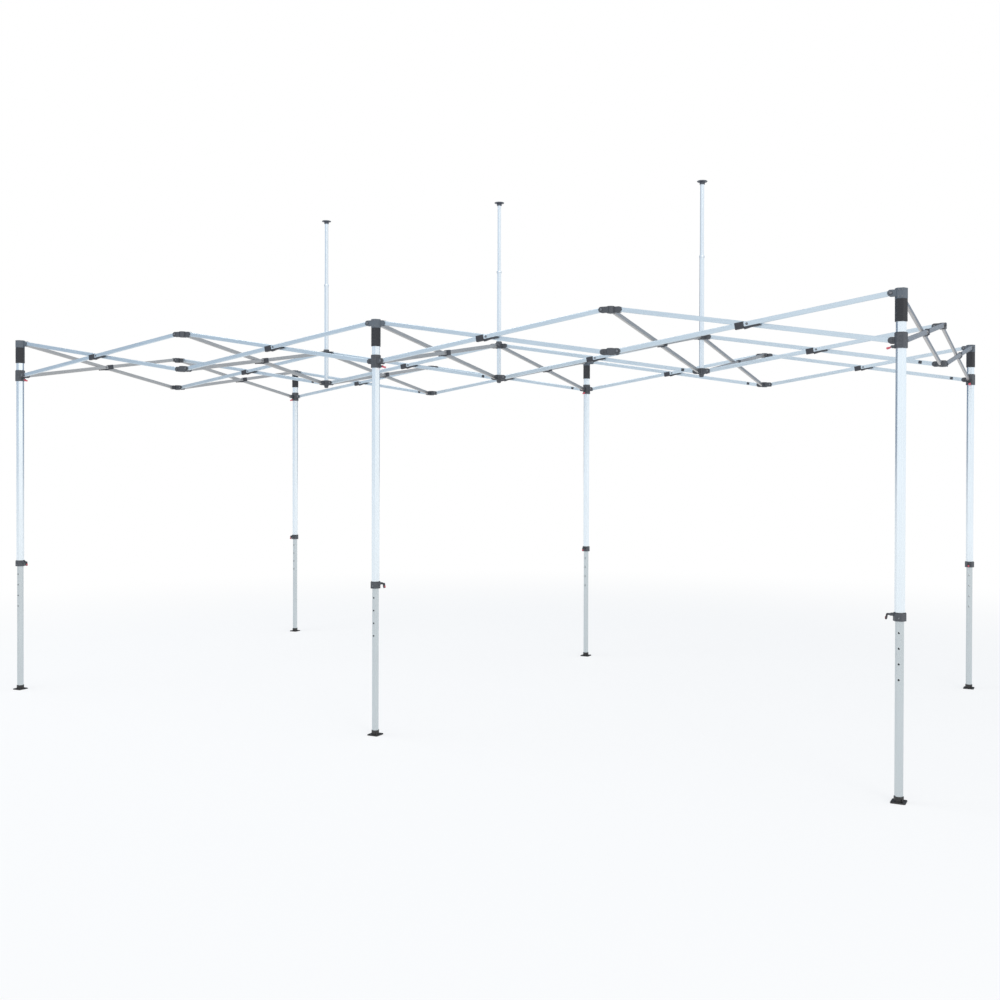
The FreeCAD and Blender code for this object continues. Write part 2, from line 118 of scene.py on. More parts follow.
# %% Repeat a shell at many places
def repeated(shell, places):
    """Applies each matrix in places (k, 4, 4) to the shell, and gives one array of points and faces."""
    points, faces = shell
    places = np.asarray(places, float)
    turned = np.einsum("kij,nj->kni", places[:, :3, :3], points) + places[:, None, :3, 3]
    stacked = faces[None] + (np.arange(len(places)) * len(points))[:, None, None]
    return turned.reshape(-1, 3), stacked.reshape(-1, 4)


def turn_z(degrees):
    return np.array(Matrix.Rotation(math.radians(degrees), 4, "Z"))


def move(x, y, z):
    return np.array(Matrix.Translation((x, y, z)))


def tilt_y(radians):
    return np.array(Matrix.Rotation(radians, 4, "Y"))


# %% Make a piece that rides on a CAD body
made = {}


def piece(name, shells, body, material, smooth=35):
    """Puts shells in one mesh, merges points that lie together, and smooths edges under smooth degrees."""
    offsets = np.cumsum([0] + [len(points) for points, _ in shells[:-1]])
    points = np.concatenate([points for points, _ in shells])
    faces = np.concatenate([faces + offset for (_, faces), offset in zip(shells, offsets)])
    mesh = bpy.data.meshes.new(name)
    mesh.from_pydata(points.tolist(), [], faces.tolist())
    mesh.validate()
    merge_close(mesh)
    mesh.shade_smooth()
    mesh.set_sharp_from_angle(angle=math.radians(smooth))
    mesh.materials.append(material)
    thing = bpy.data.objects.new(name, mesh)
    bpy.context.scene.collection.objects.link(thing)
    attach(thing, body)
    made[name] = len(mesh.polygons)
    return thing


def merge_close(mesh):
    """A fan that was drawn in to a centre has many points in one place, so they become one point."""
    work = bmesh.new()
    work.from_mesh(mesh)
    bmesh.ops.remove_doubles(work, verts=work.verts, dist=1e-6)
    bmesh.ops.dissolve_degenerate(work, edges=work.edges, dist=1e-7)
    work.to_mesh(mesh)
    work.free()


# %% [markdown]
# ## Outlines
# The legs are six sided tubes with rounded corners, with flats to the front and the back. The bars are flat
# tubes with rounded edges. Both outlines are arcs joined by straight lines, so a list of arc centres and
# angles gives them.

# %% Outlines of tubes and bars
def hexagon(across, corner, arc=4):
    """Points of a six sided outline: at each corner an arc of radius corner, centred that far inside."""
    turn = np.radians(60 * np.arange(6))[:, None]
    sweep = np.radians(np.linspace(-30, 30, arc + 1))[None, :]
    centre = (across / 2 - corner) / math.cos(math.radians(30))
    x = centre * np.cos(turn) + corner * np.cos(turn + sweep)
    y = centre * np.sin(turn) + corner * np.sin(turn + sweep)
    return np.stack([x.ravel(), y.ravel()], -1)


def rounded_box(width, depth, corner, arc=4):
    """Points of a box outline with an arc of radius corner at each of its four corners."""
    turn = np.radians([45, 135, 225, 315])[:, None]
    sweep = np.radians(np.linspace(-45, 45, arc + 1))[None, :]
    x = np.sign(np.cos(turn)) * (width / 2 - corner) + corner * np.cos(turn + sweep)
    y = np.sign(np.sin(turn)) * (depth / 2 - corner) + corner * np.sin(turn + sweep)
    return np.stack([x.ravel(), y.ravel()], -1)


# %% Turned profiles
def turned_profile(radii, heights, count=20):
    """A solid of revolution about Z: ring k is a circle of radius radii[k] at height heights[k]."""
    turn = np.linspace(0, 2 * np.pi, count, endpoint=False)
    radii, heights = np.asarray(radii, float), np.asarray(heights, float)
    x, y = radii[:, None] * np.cos(turn), radii[:, None] * np.sin(turn)
    return capped_shell(np.stack([x, y, np.broadcast_to(heights[:, None], x.shape)], -1))


def lathe_ring(section, count=32):
    """A closed section of (radius, height) points turned about Z."""
    section = np.asarray(section, float)
    turn = np.linspace(0, 2 * np.pi, count, endpoint=False)[:, None]
    r, z = section[None, :, 0], section[None, :, 1]
    z = np.broadcast_to(z, (count, len(section)))
    return ring_shell(np.stack([r * np.cos(turn), r * np.sin(turn), z], -1))


def washer(inner, outer, low, high, bevel=0.0003, count=28):
    """A flat ring about Z with bevelled outer edges, closed round its own section."""
    return lathe_ring([(inner, low), (outer - bevel, low), (outer, low + bevel), (outer, high - bevel),
                       (outer - bevel, high), (inner, high)], count)


def sleeve(outline, layers):
    """A band about Z. Each layer is (growth, height): growth moves the outline out along its own normal."""
    after, before = np.roll(outline, -1, 0), np.roll(outline, 1, 0)
    along = after - before
    normal = np.stack([along[:, 1], -along[:, 0]], -1)
    normal /= np.linalg.norm(normal, axis=1, keepdims=True)
    layers = np.asarray(layers, float)
    flat = outline[:, None, :] + normal[:, None, :] * layers[None, :, :1]
    high = np.broadcast_to(layers[None, :, 1:], flat.shape[:2] + (1,))
    return ring_shell(np.concatenate([flat, high], -1))


# %% [markdown]
# ## Finishes
# Anodised aluminium is drawn through a die, so it carries faint streaks along its length, and handling leaves
# fine marks. Moulded plastic has a fine even grain, and it goes paler where hands and edges rub it. Each of
# these effects is used by several materials, so each is a node group with its own inputs.

# %% Helpers for shader nodes
def new_group(name, inputs, outputs):
    """An empty shader group. Each input and output is (name, socket kind, default)."""
    group = bpy.data.node_groups.new(name, "ShaderNodeTree")
    for label, kind, default in inputs:
        socket = group.interface.new_socket(name=label, in_out="INPUT", socket_type=f"NodeSocket{kind}")
        socket.default_value = default
    for label, kind, _ in outputs:
        group.interface.new_socket(name=label, in_out="OUTPUT", socket_type=f"NodeSocket{kind}")
    return group, group.nodes.new("NodeGroupInput"), group.nodes.new("NodeGroupOutput")


def link(tree, value, socket):
    """Links a socket, or writes a plain value."""
    if isinstance(value, bpy.types.NodeSocket):
        tree.links.new(value, socket)
    else:
        socket.default_value = value


def maths(tree, operation, a, b=None, clamp=False):
    """The output of a maths node, whose inputs are sockets or plain values."""
    node = tree.nodes.new("ShaderNodeMath")
    node.operation, node.use_clamp = operation, clamp
    link(tree, a, node.inputs[0])
    if b is not None:
        link(tree, b, node.inputs[1])
    return node.outputs[0]


def blend_colour(tree, factor, a, b):
    node = tree.nodes.new("ShaderNodeMix")
    node.data_type = "RGBA"
    for place, value in ((0, factor), (6, a), (7, b)):
        link(tree, value, node.inputs[place])
    return node.outputs[2]


def noise(tree, vector, scale, detail=3.0, rough=0.5):
    node = tree.nodes.new("ShaderNodeTexNoise")
    node.inputs["Scale"].default_value = scale
    node.inputs["Detail"].default_value = detail
    node.inputs["Roughness"].default_value = rough
    tree.links.new(vector, node.inputs["Vector"])
    return node.outputs["Fac"]


def stretched(tree, vector, stretch):
    node = tree.nodes.new("ShaderNodeVectorMath")
    node.operation = "MULTIPLY"
    tree.links.new(vector, node.inputs[0])
    tree.links.new(stretch, node.inputs[1])
    return node.outputs[0]


# %% Drawn metal grain
def drawn_grain():
    """Colour, roughness and height of drawn metal: streaks along one axis, soft clouds and fine marks."""
    group, into, out = new_group(
        "drawn grain",
        [("Place", "Vector", (0, 0, 0)), ("Stretch", "Vector", (300, 300, 2)),
         ("Colour", "Color", (0.8, 0.8, 0.8, 1)), ("Streaks", "Float", 0.1), ("Roughness", "Float", 0.3)],
        [("Colour", "Color", None), ("Roughness", "Float", None), ("Height", "Float", None)])
    long_place = stretched(group, into.outputs["Place"], into.outputs["Stretch"])
    streak = noise(group, long_place, 1.0, 4.0, 0.6)
    cloud = noise(group, into.outputs["Place"], 3.0, 2.0)
    mark = noise(group, into.outputs["Place"], 900.0, 1.0)
    centred = maths(group, "SUBTRACT", streak, 0.5)
    depth = maths(group, "MULTIPLY", centred, into.outputs["Streaks"])
    cloudy = maths(group, "MULTIPLY", maths(group, "SUBTRACT", cloud, 0.5), 0.10)
    level = maths(group, "ADD", maths(group, "ADD", depth, cloudy), 1.0)
    bright = group.nodes.new("ShaderNodeVectorMath")
    bright.operation = "SCALE"
    group.links.new(into.outputs["Colour"], bright.inputs[0])
    group.links.new(level, bright.inputs["Scale"])
    group.links.new(bright.outputs[0], out.inputs["Colour"])
    rough = maths(group, "ADD", into.outputs["Roughness"], maths(group, "MULTIPLY", centred, 0.25))
    rough = maths(group, "ADD", rough, maths(group, "MULTIPLY", cloudy, 0.8))
    group.links.new(rough, out.inputs["Roughness"])
    group.links.new(maths(group, "ADD", streak, maths(group, "MULTIPLY", mark, 0.3)), out.inputs["Height"])
    return group


# %% Moulded plastic grain
def moulded_grain():
    """Colour, roughness and height of moulded plastic: an even fine grain, pale scuffs and broad paler
    clouds.
    """
    group, into, out = new_group(
        "moulded grain",
        [("Place", "Vector", (0, 0, 0)), ("Colour", "Color", (0.1, 0.1, 0.1, 1)),
         ("Scuff colour", "Color", (0.3, 0.3, 0.3, 1)), ("Scuffs", "Float", 0.3),
         ("Roughness", "Float", 0.5)],
        [("Colour", "Color", None), ("Roughness", "Float", None), ("Height", "Float", None)])
    grain = noise(group, into.outputs["Place"], 1400.0, 2.0)
    broad = noise(group, into.outputs["Place"], 14.0, 3.0)
    patch = noise(group, into.outputs["Place"], 90.0, 5.0, 0.7)
    scuff = maths(group, "MULTIPLY", maths(group, "SUBTRACT", patch, 0.56, clamp=True), 6.0, clamp=True)
    scuff = maths(group, "MULTIPLY", scuff, into.outputs["Scuffs"])
    pale = into.outputs["Scuff colour"]
    shade = blend_colour(group, maths(group, "MULTIPLY", broad, 0.35), into.outputs["Colour"], pale)
    group.links.new(blend_colour(group, scuff, shade, pale), out.inputs["Colour"])
    uneven = maths(group, "MULTIPLY", maths(group, "SUBTRACT", broad, 0.5), 0.25)
    rough = maths(group, "ADD", into.outputs["Roughness"], uneven)
    group.links.new(maths(group, "ADD", rough, maths(group, "MULTIPLY", scuff, 0.2)), out.inputs["Roughness"])
    group.links.new(grain, out.inputs["Height"])
    return group


# %% Horizontal ribs
def moulded_ribs():
    """A height that rises and falls along Z, for the raised lines of a moulded sleeve."""
    group, into, out = new_group("moulded ribs", [("Place", "Vector", (0, 0, 0)), ("Pitch", "Float", 0.006)],
                                 [("Height", "Float", None)])
    parts = group.nodes.new("ShaderNodeSeparateXYZ")
    group.links.new(into.outputs["Place"], parts.inputs[0])
    turns = maths(group, "MULTIPLY", parts.outputs["Z"], 2 * math.pi)
    turns = maths(group, "DIVIDE", turns, into.outputs["Pitch"])
    group.links.new(maths(group, "SINE", turns), out.inputs["Height"])
    return group


GRAIN, MOULD, RIBS = drawn_grain(), moulded_grain(), moulded_ribs()


# %% Build a material from a group
def material(name, group, values, metallic, bump, bump_distance, ribs=None):
    """Object coordinates go into the group. Its outputs go to the colour, the roughness and the normal."""
    made_here = bpy.data.materials.new(name)
    made_here.use_nodes = True
    tree = made_here.node_tree
    shader = tree.nodes["Principled BSDF"]
    place = tree.nodes.new("ShaderNodeTexCoord").outputs["Object"]
    effect = tree.nodes.new("ShaderNodeGroup")
    effect.node_tree = group
    tree.links.new(place, effect.inputs["Place"])
    for label, value in values.items():
        effect.inputs[label].default_value = value
    shader.inputs["Metallic"].default_value = metallic
    tree.links.new(effect.outputs["Colour"], shader.inputs["Base Color"])
    tree.links.new(effect.outputs["Roughness"], shader.inputs["Roughness"])
    raised = tree.nodes.new("ShaderNodeBump")
    raised.inputs["Strength"].default_value = bump
    raised.inputs["Distance"].default_value = bump_distance
    tree.links.new(effect.outputs["Height"], raised.inputs["Height"])
    if ribs:
        lines = tree.nodes.new("ShaderNodeGroup")
        lines.node_tree = RIBS
        lines.inputs["Pitch"].default_value = ribs
        tree.links.new(place, lines.inputs["Place"])
        second = tree.nodes.new("ShaderNodeBump")
        second.inputs["Strength"].default_value = 0.5
        second.inputs["Distance"].default_value = 0.0006
        tree.links.new(lines.outputs["Height"], second.inputs["Height"])
        tree.links.new(raised.outputs[0], second.inputs["Normal"])
        raised = second
    tree.links.new(raised.outputs[0], shader.inputs["Normal"])
    return made_here


def metal(name, colour, stretch, streaks, roughness):
    values = {"Stretch": stretch, "Colour": (*colour, 1), "Streaks": streaks, "Roughness": roughness}
    return material(name, GRAIN, values, metallic=0.85, bump=0.25, bump_distance=0.0002)


def plastic(name, colour, scuff, scuffs, roughness, ribs=None):
    values = {"Colour": (*colour, 1), "Scuff colour": (*scuff, 1), "Scuffs": scuffs, "Roughness": roughness}
    return material(name, MOULD, values, metallic=0.0, bump=0.3, bump_distance=0.0003, ribs=ribs)


# %% [markdown]
# ## The metals
# The legs and the long bars are pale anodised aluminium with a cool tint, and the cross bars have a duller
# mill finish. The streaks follow the way each tube was drawn: up the legs and poles, along X on the long
# bars, and along Y on the cross bars.

# %% Metals
ANODISED = (0.82, 0.89, 0.94)
BAR = (0.60, 0.69, 0.76)
MILL = (0.47, 0.465, 0.46)
UPRIGHT, ALONG_X, ALONG_Y = (420, 420, 2.5), (4, 420, 90), (420, 4, 90)
leg_metal = metal("leg tube", ANODISED, UPRIGHT, 0.16, 0.26)
inner_leg_metal = metal("inner leg tube", (0.58, 0.63, 0.65), UPRIGHT, 0.14, 0.30)
pole_metal = metal("pole tube", (0.76, 0.83, 0.89), UPRIGHT, 0.12, 0.28)
long_bar_metal = metal("long bar", BAR, ALONG_X, 0.14, 0.30)
cross_bar_metal = metal("cross bar", MILL, ALONG_Y, 0.18, 0.34)
rivet_metal = metal("rivet steel", (0.20, 0.21, 0.23), (500, 500, 500), 0.25, 0.34)

# %% [markdown]
# ## The plastics
# The brackets are glass filled nylon in charcoal, with paler rubbed patches. The feet and levers are nearly
# black, and what a hand has to find is a pinkish red.

# %% Plastics
CHARCOAL, WORN = (0.050, 0.056, 0.066), (0.17, 0.18, 0.20)
bracket_plastic = plastic("bracket nylon", CHARCOAL, WORN, 0.35, 0.44)
leg_top_plastic = plastic("leg top nylon", (0.085, 0.105, 0.130), (0.22, 0.25, 0.28), 0.35, 0.42)
grip_plastic = plastic("sleeve nylon", (0.010, 0.011, 0.015), (0.06, 0.065, 0.075), 0.25, 0.50, 0.006)
foot_plastic = plastic("foot nylon", (0.016, 0.016, 0.018), (0.11, 0.105, 0.10), 0.5, 0.58)
lever_plastic = plastic("lever nylon", (0.018, 0.018, 0.021), (0.10, 0.10, 0.11), 0.3, 0.40)
saddle_plastic = plastic("saddle nylon", (0.022, 0.025, 0.034), (0.10, 0.105, 0.12), 0.3, 0.45)
plug_plastic = plastic("end plug", (0.045, 0.048, 0.055), (0.14, 0.14, 0.15), 0.2, 0.5)
disc_plastic = plastic("pole cap nylon", (0.060, 0.070, 0.092), (0.18, 0.19, 0.22), 0.25, 0.45)
red_plastic = plastic("pull tab red", (0.60, 0.055, 0.095), (0.78, 0.32, 0.36), 0.25, 0.40)

# %% Give every CAD node its finish
FINISH = {
    "upper_leg": leg_metal, "lower_leg": inner_leg_metal, "pole_sleeves": pole_metal, "pole_tip": pole_metal,
    "long_bars": long_bar_metal, "cross_bars": cross_bar_metal, "leg_tops": leg_top_plastic,
    "runners": bracket_plastic, "leg_collars": bracket_plastic, "truss_tops": bracket_plastic,
    "truss_feet": bracket_plastic, "foot": foot_plastic, "collar_lever": lever_plastic,
    "runner_lever": red_plastic, "long_saddles": saddle_plastic, "pole_disc": disc_plastic,
}
for name, thing in frame["nodes"].items():
    finish = next(look for start, look in FINISH.items() if name.startswith(start))
    if not thing.material_slots:
        thing.data.materials.append(finish)
    for material_slot in thing.material_slots:
        material_slot.material = finish
print(len(frame["nodes"]), "CAD nodes finished")

# %% [markdown]
# ## Every bar end, once
# All the hardware on the truss sits at bar ends and bar middles. One list of these places serves rivets,
# plugs and bosses. An upper bracket holds each bar to the left of its arm, seen from the node's axis, and a
# lower bracket holds it to the right. The cross bars start at the front row and at the centre row, and they
# take their names from the half of the frame they are in.

# %% List the arms and the bars
def arms(row, top):
    """One matrix for each fork in a row: x points out along the arm, from the node's axis at pin height."""
    height = TOP_PIN if top else LOW_PIN
    places = []
    for column in COLUMNS:
        for (dx, dy), angle in (((1, 0), 0), ((0, 1), 90), ((-1, 0), 180), ((0, -1), 270)):
            if column + dx in COLUMNS and row + dy in ROWS:
                places.append(move(column * BAY, row * BAY, height) @ turn_z(angle))
    return places


def bars(start_row, along_y, rising):
    """One matrix for each bar: its x runs from pin to pin along the bar, and y is across the bar's width."""
    places = []
    for column in (COLUMNS if along_y else COLUMNS[:-1]):
        start = move(column * BAY, start_row * BAY, 0) @ turn_z(90 if along_y else 0)
        lane = -LANE if rising else LANE
        height = LOW_PIN if rising else TOP_PIN
        places.append(start @ move(REACH, lane, height) @ tilt_y(-SLOPE if rising else SLOPE))
    return places


LEG_ROWS = ((-1, "front"), (1, "back"))
CROSS_STARTS = ((-1, "front"), (0, "back"))
BRACKETS = [(row, top, f"{ROW_NAME[row]}_{'row' if top else 'runners'}")
            for row in ROWS for top in (True, False)]
print("arms on top", sum(len(arms(row, True)) for row in ROWS))

# %% [markdown]
# ## Rivets
# Each pin is a steel rivet with a domed head. The dome is a profile turned about the pin's axis, and it
# stands on the flat head outside the fork's cheek. A moulded boss stands round the head, on the cheek itself.

# %% Rivet heads on the forks
def facing(side):
    """Turns +Z to point along +Y (side 1) or -Y (side -1)."""
    return np.array(Matrix.Rotation(math.radians(-90 * side), 4, "X"))


dome = turned_profile([0.0066, 0.0070, 0.0066, 0.0054, 0.0036, 0.0015],
                      [0.0, 0.0004, 0.0013, 0.0021, 0.0026, 0.0028], 14)
FORK_PLAY, FORK_OUTER, PIN_HEAD = 0.0005, 0.005, 0.003
CHEEK = LANE + BAR_WIDE / 2 + FORK_PLAY + FORK_OUTER


def on_forks(shell, row, top, out):
    """Repeats a shell on a row's forks: out metres beside each arm, on the side where its bar is."""
    side = 1 if top else -1
    return repeated(shell, [arm @ move(REACH, side * out, 0) @ facing(side) for arm in arms(row, top)])


for row, top, body in BRACKETS:
    heads = on_forks(dome, row, top, CHEEK + PIN_HEAD)
    piece(f"rivet_heads_{body}", [heads], body, rivet_metal)
print(made)

# %% Bosses round the rivets
boss = washer(0.0074, 0.0102, 0.0, 0.0012, 0.0003, 24)
for row, top, body in BRACKETS:
    rings = on_forks(boss, row, top, CHEEK)
    piece(f"fork_bosses_{body}", [rings], body, bracket_plastic)

# %% Rivet heads where two bars cross
middle, SPACER_PLAY = BAR_LENGTH / 2, 0.0003
sides = ((-1, -BAR_WIDE / 2 - PIN_HEAD), (1, 1.5 * BAR_WIDE + BAR_GAP + SPACER_PLAY + PIN_HEAD))


def cross_rivets_on(name, body, places):
    """A head on each face of the pair of bars, at the middle of the rising one."""
    heads = [bar @ move(middle, y, 0) @ facing(side) for bar in places for side, y in sides]
    piece(name, [repeated(dome, heads)], body, rivet_metal)


for row, side_name in ROW_NAME.items():
    rising = bars(row, along_y=False, rising=True)
    cross_rivets_on(f"cross_rivets_{side_name}_truss", f"{side_name}_row", rising)
for row, side_name in CROSS_STARTS:
    rising = bars(row, along_y=True, rising=True)
    cross_rivets_on(f"cross_rivets_{side_name}_rising", f"{side_name}_rising", rising)

# %% [markdown]
# ## End plugs
# A bar is a hollow tube, and its open ends are closed with plastic plugs that the rivet passes through. The
# plug's outline is a half circle joined to a short box. Its hole has as many points as its outline, so that
# a four point section can be carried from one to the other all the way round.

# %% Plugs in the bar ends
def end_plug():
    """A D shaped plug with a hole. Its round end is at -X, and the hole is a circle about the pin."""
    count, wall, flat_wall, hole, half = 32, 0.0012, 0.0019, 0.0046, 0.0057
    turn = np.linspace(0, 2 * np.pi, count, endpoint=False)
    radius, top = BAR_DEEP / 2 - wall, BAR_DEEP / 2 - flat_wall
    x = np.where(np.cos(turn) < 0, radius * np.cos(turn), np.minimum(radius * 1.5 * np.cos(turn), radius))
    z = np.clip(radius * np.sin(turn), -top, top)
    hole_x, hole_z = hole * np.cos(turn), hole * np.sin(turn)
    corners = [(x, -half, z), (x, half, z), (hole_x, half, hole_z), (hole_x, -half, hole_z)]
    return ring_shell(np.stack([np.stack([cx, np.full(count, y), cz], -1) for cx, y, cz in corners], 1))


plug = end_plug()
flip_end = move(BAR_LENGTH, 0, 0) @ turn_z(180)


def plugs_in(name, body, places):
    """A plug at both ends of each bar."""
    ends = [end for bar in places for end in (bar, bar @ flip_end)]
    piece(name, [repeated(plug, ends)], body, plug_plastic, smooth=30)


for row, side_name in ROW_NAME.items():
    both = bars(row, along_y=False, rising=True) + bars(row, along_y=False, rising=False)
    plugs_in(f"end_plugs_{side_name}_truss", f"{side_name}_row", both)
for row, side_name in CROSS_STARTS:
    for way in ("rising", "falling"):
        places = bars(row, along_y=True, rising=way == "rising")
        plugs_in(f"end_plugs_{side_name}_{way}", f"{side_name}_{way}", places)

# %% [markdown]
# ## Bumpers
# Near the lower end of each falling bar a short dark pad keeps the folded bars from striking each other. It
# is clipped to one face only. The pad is a box outline whose layers shrink towards the top, like a flat
# cushion.


# %% Pads
def pad(width, height, thick, corner):
    """A low cushion on the XY plane: the outline shrinks a little towards its top."""
    outline = rounded_box(width, height, corner)
    scale = np.array([1.0, 1.0, 0.96, 0.90])[:, None, None]
    z = np.array([0.0, 0.6, 0.9, 1.0])[:, None] * thick
    flat = outline[None] * scale
    return capped_shell(np.concatenate([flat, np.broadcast_to(z[:, :, None], flat.shape[:2] + (1,))], -1))


# %% Bumpers on the falling bars
NEAR_END = 0.085
bumper = pad(0.020, BAR_DEEP - 0.006, 0.0022, 0.003)


def bumpers_on(name, body, places, side):
    """A pad near the far end of each bar, on its +Y face (side 1) or its -Y face (side -1)."""
    spots = [bar @ move(BAR_LENGTH - NEAR_END, side * BAR_WIDE / 2, 0) @ facing(side) for bar in places]
    piece(name, [repeated(bumper, spots)], body, saddle_plastic)


for row, side_name, side in ((-1, "front", 1), (0, "centre", -1), (1, "back", -1)):
    falling = bars(row, along_y=False, rising=False)
    bumpers_on(f"bumpers_{side_name}_truss", f"{side_name}_row", falling, side)
for row, side_name in CROSS_STARTS:
    falling = bars(row, along_y=True, rising=False)
    bumpers_on(f"bumpers_{side_name}_falling", f"{side_name}_falling", falling, 1)

# %% [markdown]
# ## Saddles
# A dark clip holds each rising bar beside the crossing, and its tongue runs on under the bar, deep at the
# clip and thin at its tip. The outline of the clip is carried along the bar as a band, and the tongue is a
# stack of box outlines whose depth falls along the way.

# %% Saddle clips and tongues
along_bar = np.array([[0, 0, 1, 0], [1, 0, 0, 0], [0, 1, 0, 0], [0, 0, 0, 1]], float)
CLIP_HALF, CLIP_MID, TONGUE_START = 0.0235, 0.041, 0.018


def clip_band():
    """A band with bevelled ends round the bar, just outside the clip. Local z runs along the bar."""
    play, side_walls, top_and_base, sag, bevel = 0.0001, 0.0062, 0.0095, 0.0018, 0.0008
    inner = rounded_box(BAR_WIDE + play, BAR_DEEP + play, 0.003)
    outer = rounded_box(BAR_WIDE + side_walls, BAR_DEEP + top_and_base, 0.0022) - [0, sag]
    soft = outer * [0.97, 0.98]
    end, near = CLIP_HALF, CLIP_HALF - bevel
    layers = [(inner, -end), (soft, -end), (outer, -near), (outer, near), (soft, end), (inner, end)]
    rings = [np.concatenate([ring, np.full((len(ring), 1), z)], -1) for ring, z in layers]
    return ring_shell(np.stack(rings, 1))


def tongue_band():
    """Box outlines along the bar. Their top stays just inside the bar's underside, and their bottom rises."""
    z = np.array([0.0, 0.012, 0.030, 0.055, 0.078, 0.0835])
    depth = np.array([0.0125, 0.0120, 0.0095, 0.0078, 0.0068, 0.0066])
    width = np.array([0.0152, 0.0158, 0.0158, 0.0156, 0.0154, 0.0130])
    outline, under = rounded_box(1.0, 1.0, 0.12), BAR_DEEP / 2 - 0.0003
    rings = [np.stack([w * outline[:, 0], d * outline[:, 1] - under - d / 2, np.full(len(outline), k)], -1)
             for w, d, k in zip(width, depth, z)]
    return capped_shell(np.stack(rings))


clip, tongue = clip_band(), tongue_band()
back_to_front = np.diag([-1.0, 1.0, -1.0, 1.0])


def saddles_on(name, body, places, side):
    """A clip and its tongue on each bar, after its middle (side 1) or before it (side -1)."""
    clips = [bar @ move(BAR_LENGTH / 2 + side * CLIP_MID, 0, 0) @ along_bar for bar in places]
    start = BAR_LENGTH / 2 + side * TONGUE_START
    way = along_bar if side < 0 else along_bar @ back_to_front
    tongues = [bar @ move(start, 0, 0) @ way for bar in places]
    piece(name, [repeated(clip, clips), repeated(tongue, tongues)], body, saddle_plastic)


for row, side_name in ROW_NAME.items():
    rising = bars(row, along_y=False, rising=True)
    saddles_on(f"saddle_covers_{side_name}_truss", f"{side_name}_row", rising, -1)
for row, side_name in CROSS_STARTS:
    rising = bars(row, along_y=True, rising=True)
    saddles_on(f"saddle_covers_{side_name}_rising", f"{side_name}_rising", rising, 1)

# %% [markdown]
# ## Leg tops
# Below the forks, the leg top's sleeve is moulded darker, with raised lines for grip. The sleeve's outline is
# the leg's hexagon, and each layer of the band gives one rise or fall of a rib.

# %% Ribbed grips on the leg top sleeves
def leg_places(row):
    """One matrix for each leg in a row, at the leg's place on the ground."""
    return [move(column * BAY, row * BAY, 0) for column, leg_row in LEGS if leg_row == row]


SLEEVE_DROP, FORK_DROP, PLAIN_BAND = 0.1365, 0.0285, 0.002
low, high = TOP_PIN - SLEEVE_DROP, TOP_PIN - FORK_DROP
steps = np.linspace(low + PLAIN_BAND, high - PLAIN_BAND, 73)
ribs = [(0.0009 + 0.0005 * math.cos(2 * math.pi * k / 6), z) for k, z in enumerate(steps)]
grip_layers = [(0.0002, low), (0.0008, low), *ribs, (0.0008, high), (0.0002, high)]
grip = sleeve(hexagon(0.0512, 0.003), grip_layers)
for row, side_name in LEG_ROWS:
    piece(f"sleeve_grips_{side_name}", [repeated(grip, leg_places(row))], f"{side_name}_row", grip_plastic,
          smooth=60)

# %% Screws and buttons on the outer faces
screw = turned_profile([0.0042, 0.0044, 0.0040, 0.0028, 0.0010], [0.0, 0.0004, 0.0011, 0.0016, 0.0018], 16)
button_ring = washer(0.0052, 0.0085, 0.0, 0.0016, 0.0004)
button = turned_profile([0.0048, 0.0048, 0.0042, 0.0028, 0.0010],
                        [-0.001, 0.0012, 0.0022, 0.0029, 0.0031], 20)
CAP_FLAT, COLLAR_FLAT, BUTTON_HEIGHT = 0.027, 0.028, 0.886
for row, side_name in LEG_ROWS:
    outer = facing(row)
    head = [leg @ move(x, row * CAP_FLAT, TOP_PIN + z) @ outer
            for leg in leg_places(row) for x in (-0.008, 0.008) for z in (0.014, -0.018)]
    piece(f"head_screws_{side_name}", [repeated(screw, head)], f"{side_name}_row", rivet_metal)
    spots = [leg @ move(0, row * COLLAR_FLAT, BUTTON_HEIGHT) @ outer for leg in leg_places(row)]
    piece(f"button_rings_{side_name}", [repeated(button_ring, spots)], f"{side_name}_row", bracket_plastic)
    piece(f"lock_buttons_{side_name}", [repeated(button, spots)], f"{side_name}_row", rivet_metal)

# %% [markdown]
# ## Runners and collars
# A runner is lined with a slippery bush, whose rim shows as a ring round the leg, and so is a collar. Raised
# pads stiffen the outer flat of each runner.

# %% Bushes in the runners and collars
rim_layers = [(0.0, 0.0), (0.0032, 0.0), (0.0036, 0.0005), (0.0030, 0.0030), (0.0, 0.0030)]
rim = sleeve(hexagon(0.0456, 0.0025), rim_layers)
RUNNER_RISE, COLLAR_TOP = 0.034, 0.909
for row, side_name in LEG_ROWS:
    on_top = [leg @ move(0, 0, LOW_PIN + RUNNER_RISE) for leg in leg_places(row)]
    piece(f"runner_bushes_{side_name}", [repeated(rim, on_top)], f"{side_name}_runners", lever_plastic)
    on_collar = [leg @ move(0, 0, COLLAR_TOP) for leg in leg_places(row)]
    piece(f"collar_rims_{side_name}", [repeated(rim, on_collar)], f"{side_name}_row", lever_plastic)


# %% Pads on the flats
runner_pad = pad(0.020, 0.012, 0.0010, 0.003)
RUNNER_FLAT, PAD_RISES = 0.028, (0.022, 0.002, -0.018)
for row, side_name in LEG_ROWS:
    outer = facing(row)
    spots = [leg @ move(0, row * RUNNER_FLAT, LOW_PIN + z) @ outer
             for leg in leg_places(row) for z in PAD_RISES]
    piece(f"runner_pads_{side_name}", [repeated(runner_pad, spots)], f"{side_name}_runners",
          bracket_plastic)

# %% [markdown]
# ## Levers
# The collar lever has a red pad where the thumb pushes, and the runner's pull lever has a thick grip with
# ridges. They sit on the lever's faces, in the lever's own frame: x away from the leg, z up.


